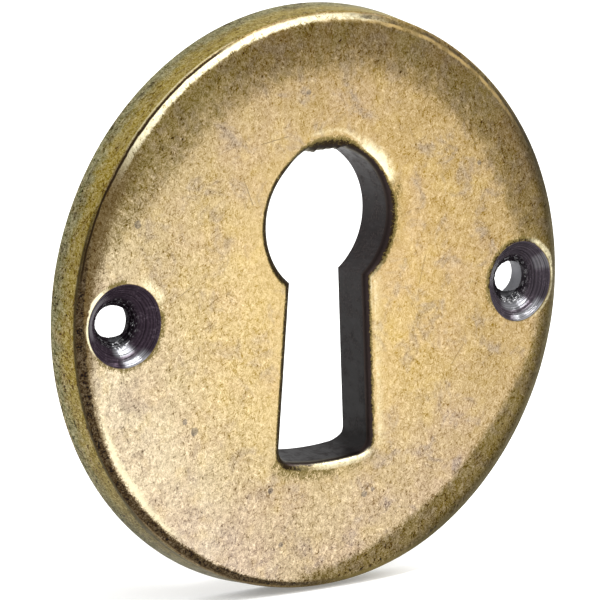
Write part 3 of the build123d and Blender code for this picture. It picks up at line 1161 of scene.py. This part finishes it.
def shoulder_wear_and_highlights(w, tone):
    """Shoulder with a painted highlight, white at the upper left and cream at the lower left, and rubbed gold
    at the upper right.

    Gives the mask of the white too.
    """
    # Painted highlight: a white band on the shoulder at the upper left
    white = w.strip((0.05, 0.1), (-0.5, -0.36, -0.18, -0.07), (115, 42, 25), 0.9)
    white = w.times(white, w.ease(w.speckle, -0.24, -0.12, 0.45, 1.0))
    rubbed = w.vector("MULTIPLY", w.colour("cream_wear_and_highlight"), 0.86)
    tone = w.mix(white, tone, w.grain(w.speckle, (1.0, 0.96, 0.9), 0.55, rubbed))
    gold_line = w.strip((0.06, 0.08), (-0.6, -0.47, -0.4, -0.3), (62, 36, 20), w.broken)
    tone = w.mix(gold_line, tone, w.colour("streak_gold"))
    # Painted highlight: a cream band on the shoulder at the lower left, inside the dark band
    cream = w.strip((0.05, 0.15), (-0.95, -0.62, -0.5, -0.38), (215, 20, 8), 0.58)
    return w.mix(cream, tone, w.colour("cream_wear_and_highlight")), white


def shoulder_soot_and_shade(w, tone):
    """Brown at the left, partly painted shade; olive painted shade at the foot; soot with a painted dark
    reflection at the lower left; dark lines at the top; and a right side made dimmer by painted shade.

    Gives the mask of the dark band of soot and painted dark reflection too.
    """
    black, brown = w.colour("edge_black"), w.colour("brown_patina")
    dark_brown_tone = w.grain(w.speckle, (1.0, 0.84, 0.5), 0.22, w.mix(0.25, brown, black))
    soot_tone = w.grain(w.speckle, (1.0, 0.82, 0.6), 0.24, w.mix(0.2, black, brown))
    # Brown at the left, partly patina and partly painted shade
    tone = w.mix(w.fade((0.14, -0.45), -1.4, -0.45, (167, 28, 12), 0.96), tone, dark_brown_tone)
    # Painted shade: olive darkening of the lower corner
    tone = w.mix(w.fade((0.06, -0.1), -0.4, -0.15, (305, 55, 38), 0.85), tone, w.colour("olive_patina"))

    # Dark band at the lower left: soot and a painted dark reflection, with a brown margin
    soot_and_shade = w.window(218, 62, 44)
    middle = w.math("MULTIPLY_ADD", w.window(246, 34, 12), -0.14, -0.12)
    half = 0.115
    for *along, wider in DARK_BAND_WIDER:
        half = w.math("MULTIPLY_ADD", w.window(*along), wider, half)
    inward = w.math("SUBTRACT", w.math("SUBTRACT", middle, w.loose(w.rim, 0.08, -0.35)), half)
    dark_brown_reach = w.math("MULTIPLY_ADD", w.window(189, 18, 6), 0.24, 0.16)
    dark_brown = w.times(w.ease(inward, dark_brown_reach, 0.0), soot_and_shade, w.ease(w.rim, 0.3, 0.0), 0.85)
    tone = w.mix(dark_brown, tone, dark_brown_tone)
    off = w.math("ABSOLUTE", w.math("SUBTRACT", w.loose(w.rim, 0.05, -0.07), middle))
    soot = w.times(w.ease(w.math("SUBTRACT", off, half), 0.05, -0.05), soot_and_shade)
    tone = w.mix(soot, tone, soot_tone)

    line_run = w.math("MULTIPLY_ADD", w.window(164, 15, 7), 0.06, -0.11)
    tone = w.mix(w.line((0.03, 0.03), line_run, 0.075, 0.035, (143, 31, 25)), tone, black)
    ledge = w.line((0.06, -0.1), -0.23, 0.15, 0.05, (54, 42, 26), w.broken, 0.85)
    tone = w.mix(ledge, tone, black)
    # Painted shade: the right side of the shoulder and the corner made dimmer
    dim = w.fade((0.1, -0.2), -1.3, -0.3, (345, 66, 40))
    return w.vector("MULTIPLY", tone, w.ease(dim, 0.0, 1.0, 1.0, 0.38)), soot


def side_wall(w, tone):
    """Side wall, greyer towards the wood, painted lighter towards the top and darker towards the lower left
    and the bottom, with a dark edge and crease and a painted highlight as a thin light line on the corner.
    """
    black = w.colour("edge_black")
    wood_side = w.ease(w.loose(w.rim, 0.5, 0.3), 0.7, 1.8)
    wall = w.mix(wood_side, w.colour("side_brass"), w.colour("side_grey"))
    # Painted light and shade: the side wall lighter towards the top, darker towards the lower left and the
    # bottom
    for *along, gain in WALL_LIGHT_AND_SHADE:
        wall = w.vector("MULTIPLY", wall, w.ease(w.window(*along), 0.0, 1.0, 1.0, gain))
    wall = w.mix(w.ease(w.streaks, 0.42, 0.7, 0.0, 0.6), wall, w.colour("brown_patina"))
    wall = w.grain(w.speckle, (1.0, 0.9, 0.62), 0.6, wall)
    specks = w.times(w.ease(w.streaks, 0.5, 0.62), w.ease(w.rim, 1.2, 1.9), w.ease(w.mottle, 0.0, 0.3), 0.8)
    wall = w.mix(specks, wall, black)
    # Dark edge at the lower left, where the shoulder's band of soot and painted dark reflection runs onto the
    # corner
    wall = w.mix(w.fade((0.06, -0.12), 0.32, 0.14, (193, 42, 28), 0.9), wall, black)
    wall = w.mix(w.line((0.05, 0.04), 0.34, 0.18, 0.06, (234, 19, 10), 0.8), wall, black)
    tone = w.mix(w.ease(w.rim, -0.04, 0.08), tone, wall)
    # Painted highlight: a thin light line on the corner at the upper left
    thin = w.line((0.02, 0.03), 0.02, 0.06, 0.02, (128, 18, 9), 0.45)
    return w.mix(thin, tone, w.colour("cream_wear_and_highlight"))


def hole_edges(w, tone):
    """Soot beside the keyhole and the screw holes, with a painted dark reflection on the keyhole's rounding,
    and rubbed brass with painted highlights.
    """
    soot_and_shade, rubbed = w.attribute("soot"), w.attribute("shine")
    # Soot, and the painted dark reflection on the keyhole's rounding
    soot = w.math("ADD", soot_and_shade, w.times(w.ease(soot_and_shade, 0.0, 0.25), w.loose(0.0, 0.3, -1.1)))
    tone = w.mix(w.ease(soot, 0.0, 0.45, 0.0, 0.9), tone, w.colour("olive_patina"))
    tone = w.mix(w.ease(soot, 0.6, 0.95), tone, w.colour("edge_black"))
    core = w.ease(w.loose(w.attribute("edge_keyhole"), 0.06, 0.12), 0.22, 0.15)
    tone = w.mix(core, tone, w.colour("soot_grey"))
    # Rubbed brass and painted highlights on the edges of the holes
    shine = w.math("ADD", rubbed, w.times(w.ease(rubbed, 0.0, 0.6), w.loose(0.0, 0.25, 0.6)))
    return w.mix(w.ease(shine, 0.05, 0.85), tone, w.colour("cream_wear_and_highlight"))


def pits_and_scratches(w, tone):
    """Casting pits and fine scratches; gives the mask of the scratches too."""
    hollow = w.attribute("pit")
    pit = w.times(w.ease(w.loose(hollow, 0.4, -1.0), 0.3, 0.9), w.ease(hollow, 0.0, 0.3), 0.5)
    tone = w.mix(pit, tone, w.colour("pit_grey"))
    marks = 0.0
    for start, end, width in SCRATCHES:
        ends = {"start": (start[0], 0.0, start[1]), "end": (end[0], 0.0, end[1])}
        mark = w.group(w.groups.scratch, point=w.point, width=width, **ends)["Mask"]
        marks = w.math("MAXIMUM", marks, mark)
    marks = w.times(marks, w.ease(w.speckle, -0.2, 0.15, 0.1, 0.55))
    return w.mix(marks, tone, w.colour("edge_black")), marks


def brass_material(finish, groups):
    """Aged brass of the front, the shoulder and the side wall, its coats laid one over another, painted light
    and shade among them.
    """
    material, _, shader = new_material("aged_brass", 1.0)
    shader.inputs["Specular Tint"].default_value = (0.93, 0.91, 0.8, 1.0)
    w = BrassWiring(material.node_tree, finish, groups)
    tone, patina = patina_coat(w, gold(w))
    tone, white = shoulder_wear_and_highlights(w, face_grain(w, tone, patina))
    tone, soot = shoulder_soot_and_shade(w, tone)
    tone = hole_edges(w, side_wall(w, tone))
    tone, scratched = pits_and_scratches(w, tone)
    w.put(shader.inputs["Base Color"], tone)

    rough = w.ease(w.mottle, -0.5, 0.5, 0.36, 0.48)
    rough = w.math("MULTIPLY_ADD", w.math("MAXIMUM", white, w.attribute("shine")), -0.12, rough)
    rough = w.math("MULTIPLY_ADD", w.math("MAXIMUM", soot, patina), 0.06, rough)
    w.put(shader.inputs["Roughness"], rough)
    height = w.math("SUBTRACT", w.height, w.times(scratched, 1.5))
    give_bump(w, shader, height, 0.25, 0.03)
    return material


def keyhole_material(finish, groups):
    """Blackened walls of the keyhole, darker downwards, with fine drag lines from front to back."""
    material, w, shader = new_material("keyhole_black", 0.0)
    shader.inputs["Specular IOR Level"].default_value = 0.12
    point = w.group(groups.place)["Point"]
    black = w.group(groups.black, point=point, black=finish.keyhole_black, rubbed=finish.keyhole_rubbed)
    lines = w.noise(w.vector("MULTIPLY", point, (3.0, 0.35, 0.6)), 3.2, 2.0, 0.5)
    tone = w.mix(w.ease(lines, 0.45, 0.7, 0.0, 0.3), black["Colour"], finish.keyhole_drag)
    up = w.vector("DOT_PRODUCT", point, (0.0, 0.0, 1.0))
    tone = w.vector("MULTIPLY", tone, w.ease(up, -7.0, 4.0, 0.45, 1.13))
    w.put(shader.inputs["Base Color"], tone)
    w.put(shader.inputs["Roughness"], w.ease(black["Patch"], 0.0, 1.0, 0.42, 0.6))
    give_bump(w, shader, lines, 0.3, 0.03)
    return material


def countersink_material(finish, groups):
    """Glossy blackened countersinks, with fine turned rings, worn greyer in places with a painted reflection,
    and with bare specks that carry painted glints.
    """
    material, w, shader = new_material("countersink_black", 0.25)
    shader.inputs["Specular IOR Level"].default_value = 0.0
    point = w.group(groups.place)["Point"]
    black = w.group(
        groups.black, point=point, black=finish.countersink_black, rubbed=finish.countersink_rubbed
    )
    ring, worn = w.attribute("edge_screw"), w.attribute("burnish")
    rings = w.noise(w.vector("MULTIPLY", ring, 9.0), 1.0, 2.0, 0.5)
    # Worn greyer, partly a painted reflection where the lamps reflect
    tone = w.mix(w.times(worn, 0.9), black["Colour"], finish.countersink_wear_and_sheen)
    tone = w.vector("MULTIPLY", tone, w.ease(rings, 0.36, 0.62, 0.4, 1.4))
    tone = w.vector("MULTIPLY", tone, w.ease(ring, -1.1, -0.8, 0.3, 1.0))
    # Bare specks with painted glints, where the cones are worn greyer
    specks = w.times(
        w.ease(w.noise(w.vector("MULTIPLY", ring, 22.0), 1.0, 1.0), 0.5, 0.6),
        w.ease(w.noise(point, 4.5, 2.0, 0.6), 0.52, 0.6),
        w.between(ring, -1.28, -1.15, -0.95, -0.78),
        w.ease(worn, 0.0, 0.6, 0.15, 1.0),
    )
    w.put(shader.inputs["Base Color"], w.mix(specks, tone, finish.bare_glint_speck))
    w.put(shader.inputs["Roughness"], w.ease(black["Patch"], 0.0, 1.0, 0.12, 0.22))
    give_bump(w, shader, rings, 0.25, 0.02)
    return material


def back_material(finish, groups):
    """Hollow back as it was cast: duller, greyer and rougher, with brass in patches."""
    material, w, shader = new_material("cast_back", 0.9)
    point = w.group(groups.place)["Point"]
    grain = w.group(groups.grain, point=point, fineness=0.7)
    tone = w.mix(w.times(grain["Cloud"], 0.6), finish.raw_metal, finish.side_brass)
    tone = w.mix(w.ease(grain["Mottle"], -0.5, 0.5, 0.0, 0.5), tone, finish.side_grey)
    tone = w.grain(grain["Speckle"], (1.0, 0.92, 0.75), 0.5, tone)
    tone = w.mix(w.ease(w.attribute("edge_screw"), -0.5, -0.85), tone, finish.drilled_grey)
    w.put(shader.inputs["Base Color"], tone)
    w.put(shader.inputs["Roughness"], w.ease(grain["Mottle"], -0.5, 0.5, 0.46, 0.64))
    give_bump(w, shader, grain["Height"], 0.5, 0.05)
    return material


def cast_skin_tree(materials):
    """Geometry tree that gives the smooth plate its uneven cast skin and its materials by region."""
    tree = bpy.data.node_groups.new("Cast skin", "GeometryNodeTree")
    sockets = tree.interface
    sockets.new_socket(name="Plate", in_out="INPUT", socket_type="NodeSocketGeometry")
    names = {}
    for label in ("Wave depth", "Wave size", "Dent depth", "Dent size"):
        socket = sockets.new_socket(name=label, in_out="INPUT", socket_type="NodeSocketFloat")
        names[label] = socket.identifier
    sockets.new_socket(name="Plate", in_out="OUTPUT", socket_type="NodeSocketGeometry")
    w = Wiring(tree)
    given = w.node("NodeGroupInput").outputs
    out = w.node("NodeGroupOutput").inputs
    position = w.node("GeometryNodeInputPosition").outputs[0]
    normal = w.node("GeometryNodeInputNormal").outputs[0]
    skin = w.node("GeometryNodeInputNamedAttribute", data_type="FLOAT")
    skin.inputs["Name"].default_value = "skin"

    def relief(depth, size, detail):
        pattern = w.noise(position, w.math("DIVIDE", 1.0, given[size]), detail, 0.5)
        return w.math("MULTIPLY", w.math("SUBTRACT", pattern, 0.5), w.math("MULTIPLY", given[depth], 2.0))

    height = w.math("ADD", relief("Wave depth", "Wave size", 1.0), relief("Dent depth", "Dent size", 2.0))
    height = w.math("MULTIPLY", height, skin.outputs["Attribute"])
    move = w.vector("SCALE", normal)
    w.put(move.node.inputs["Scale"], height)
    moved = w.node("GeometryNodeSetPosition")
    w.put(moved.inputs["Geometry"], given["Plate"])
    w.put(moved.inputs["Offset"], move)
    realized = w.node("GeometryNodeRealizeInstances")
    w.put(realized.inputs["Geometry"], moved.outputs["Geometry"])
    region = w.node("GeometryNodeInputNamedAttribute", data_type="INT")
    region.inputs["Name"].default_value = "region"
    result = realized.outputs["Geometry"]
    for number, material in enumerate(materials):
        same = w.node("FunctionNodeCompare", data_type="INT", operation="EQUAL")
        w.put(same.inputs[2], region.outputs["Attribute"])
        same.inputs[3].default_value = number
        painted = w.node("GeometryNodeSetMaterial")
        w.put(painted.inputs["Geometry"], result)
        w.put(painted.inputs["Selection"], same.outputs["Result"])
        painted.inputs["Material"].default_value = material
        result = painted.outputs["Geometry"]
    w.put(out["Plate"], result)
    return tree, names


class ESCUTCHEON_OT_plate(bpy.types.Operator):
    """Make the cast brass plate with its keyhole, countersinks and hollow back"""

    bl_idname = "escutcheon.plate"
    bl_label = "Brass plate"

    def execute(self, context):
        sizes = context.scene.escutcheon_sizes
        finish = context.scene.escutcheon_finish
        groups = SimpleNamespace(
            place=plate_place_group(),
            window=rim_window_group(),
            grain=cast_grain_group(),
            scratch=scratch_group(),
            black=black_wash_group(),
        )
        materials = (
            brass_material(finish, groups),
            keyhole_material(finish, groups),
            countersink_material(finish, groups),
            back_material(finish, groups),
        )
        s = in_millimetres(sizes)
        smooth = shape_plate(s).build("plate_smooth", s)
        plate = bpy.data.objects.new("brass_plate", smooth)
        context.scene.collection.objects.link(plate)
        tree, names = cast_skin_tree(materials)
        skin = plate.modifiers.new("Cast skin", "NODES")
        skin.node_group = tree
        for label, identifier in names.items():
            skin[identifier] = getattr(sizes, label.replace(" ", "_").lower())
        context.view_layer.update()
        cast = bpy.data.meshes.new_from_object(plate.evaluated_get(context.evaluated_depsgraph_get()))
        plate.modifiers.remove(skin)
        plate.data = cast
        cast.name = "brass_plate"
        bpy.data.meshes.remove(smooth)
        cast.set_sharp_from_angle(angle=SHARP_ANGLE)
        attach(plate, "root")
        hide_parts(PLATE_NODE)
        return {"FINISHED"}


def softbox(context, name, direction, along, size, power):
    """A long soft lamp that looks at the plate from a direction, with its length laid along another."""
    lamp = bpy.data.lights.new(name, "AREA")
    lamp.shape = "RECTANGLE"
    lamp.size, lamp.size_y = size
    lamp.energy = power
    holder = bpy.data.objects.new(name, lamp)
    toward = Vector(direction).normalized()
    upward = toward.cross(Vector(along)).normalized()
    turned = Matrix((upward.cross(toward), upward, toward)).transposed()
    holder.matrix_world = Matrix.Translation(toward * LAMP_DISTANCE) @ turned.to_4x4()
    context.scene.collection.objects.link(holder)


class ESCUTCHEON_OT_stage(bpy.types.Operator):
    """Make the pale floor, the soft lights and the camera"""

    bl_idname = "escutcheon.stage"
    bl_label = "Stage"

    def execute(self, context):
        scene = context.scene
        stage = scene.escutcheon_stage
        self.make_floor(context, stage)
        world = bpy.data.worlds.new("even_room")
        world.use_nodes = True
        world.node_tree.nodes.clear()
        w = Wiring(world.node_tree)
        light = w.node("ShaderNodeBackground")
        light.inputs["Color"].default_value = (1.0, 1.0, 1.0, 1.0)
        light.inputs["Strength"].default_value = stage.room_light
        w.put(w.node("ShaderNodeOutputWorld").inputs["Surface"], light.outputs[0])
        scene.world = world
        for lamp in LAMPS:
            softbox(context, *lamp)
        scene.view_settings.view_transform = "Standard"
        self.make_camera(context, stage)
        return {"FINISHED"}

    def make_floor(self, context, stage):
        """A wide pale floor under the plate that glows a little, like a lit table."""
        mesh = bpy.data.meshes.new("floor")
        signs = ((-1, -1), (1, -1), (1, 1), (-1, 1))
        corners = [(x * FLOOR_REACH, y * FLOOR_REACH, cad_box[0].z) for x, y in signs]
        mesh.from_pydata(corners, [], [(0, 1, 2, 3)])
        floor = bpy.data.objects.new("floor", mesh)
        context.scene.collection.objects.link(floor)
        material, _, shader = new_material("pale_floor", 0.0)
        shader.inputs["Base Color"].default_value = (*stage.floor_white, 1.0)
        shader.inputs["Emission Color"].default_value = (1.0, 1.0, 1.0, 1.0)
        shader.inputs["Emission Strength"].default_value = stage.floor_glow
        shader.inputs["Roughness"].default_value = 0.9
        shader.inputs["Specular IOR Level"].default_value = 0.1
        mesh.materials.append(material)

    def make_camera(self, context, stage):
        """A long lens, from a little above and to the left of the front."""
        look = Vector(
            (
                math.sin(stage.yaw) * math.cos(stage.pitch),
                math.cos(stage.yaw) * math.cos(stage.pitch),
                math.sin(stage.pitch),
            )
        )
        level = Vector((math.cos(stage.yaw), -math.sin(stage.yaw), 0.0))
        upright = level.cross(look)
        across = math.cos(stage.roll) * level + math.sin(stage.roll) * upright
        upward = math.cos(stage.roll) * upright - math.sin(stage.roll) * level
        place = -(stage.aim_right * across + stage.aim_up * upward + stage.distance * look)
        lens = bpy.data.cameras.new("camera")
        lens.lens = stage.lens
        lens.sensor_width = PICTURE_WIDTH
        lens.clip_start, lens.clip_end = 0.01, 20.0
        camera = bpy.data.objects.new("camera", lens)
        turned = Matrix((across, upward, -look)).transposed()
        camera.matrix_world = Matrix.Translation(place) @ turned.to_4x4()
        context.scene.collection.objects.link(camera)
        context.scene.camera = camera


class ESCUTCHEON_PT_panel(bpy.types.Panel):
    """Sizes, colours and steps of the escutcheon"""

    bl_idname = "ESCUTCHEON_PT_panel"
    bl_label = "Keyhole escutcheon"
    bl_space_type = "VIEW_3D"
    bl_region_type = "UI"
    bl_category = "Escutcheon"

    def draw(self, context):
        for group in GROUPS:
            values = getattr(context.scene, group)
            box = self.layout.box()
            for name in values.__annotations__:
                box.prop(values, name)
        for operator in (ESCUTCHEON_OT_plate, ESCUTCHEON_OT_stage):
            self.layout.operator(operator.bl_idname)


GROUPS = {
    "escutcheon_sizes": EscutcheonSizes,
    "escutcheon_finish": EscutcheonFinish,
    "escutcheon_stage": EscutcheonStage,
}
CLASSES = (*GROUPS.values(), ESCUTCHEON_OT_plate, ESCUTCHEON_OT_stage, ESCUTCHEON_PT_panel)


def register():
    for item in CLASSES:
        bpy.utils.register_class(item)
    for name, group in GROUPS.items():
        setattr(bpy.types.Scene, name, bpy.props.PointerProperty(type=group))


def unregister():
    for name in GROUPS:
        delattr(bpy.types.Scene, name)
    for item in reversed(CLASSES):
        bpy.utils.unregister_class(item)


def main():
    register()
    bpy.ops.escutcheon.plate()
    bpy.ops.escutcheon.stage()


if __name__ == "__main__":
    main()
